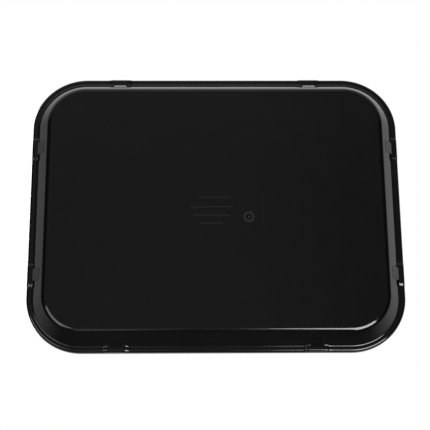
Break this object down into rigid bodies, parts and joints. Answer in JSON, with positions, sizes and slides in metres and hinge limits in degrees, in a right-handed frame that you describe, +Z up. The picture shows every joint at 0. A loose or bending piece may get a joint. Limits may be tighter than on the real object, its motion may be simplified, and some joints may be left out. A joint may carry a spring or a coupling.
{
  "type": "serving tray",
  "caption": "Shallow rectangular moulded serving tray with rounded corners, a thick rounded rim and eight stacking lugs under the rim.",
  "frame": {"origin": "middle of the tray's footprint on the plane it rests on", "axes": "+Z up out of the open side, +X along the long side, +Y along the short side"},
  "size_m": [0.352, 0.273, 0.022],
  "materials": {
    "tray_plastic": "black polypropylene, glossy on the underside and walls, fine pebbled texture on the inside floor"
  },
  "bodies": {
    "root": {"floor_panel": "tray_plastic", "side_wall": "tray_plastic", "rim": "tray_plastic", "stacking_lug_front_left": "tray_plastic", "stacking_lug_front_right": "tray_plastic", "stacking_lug_right_front": "tray_plastic", "stacking_lug_right_back": "tray_plastic", "stacking_lug_back_right": "tray_plastic", "stacking_lug_back_left": "tray_plastic", "stacking_lug_left_back": "tray_plastic", "stacking_lug_left_front": "tray_plastic"}
  },
  "joints": []
}
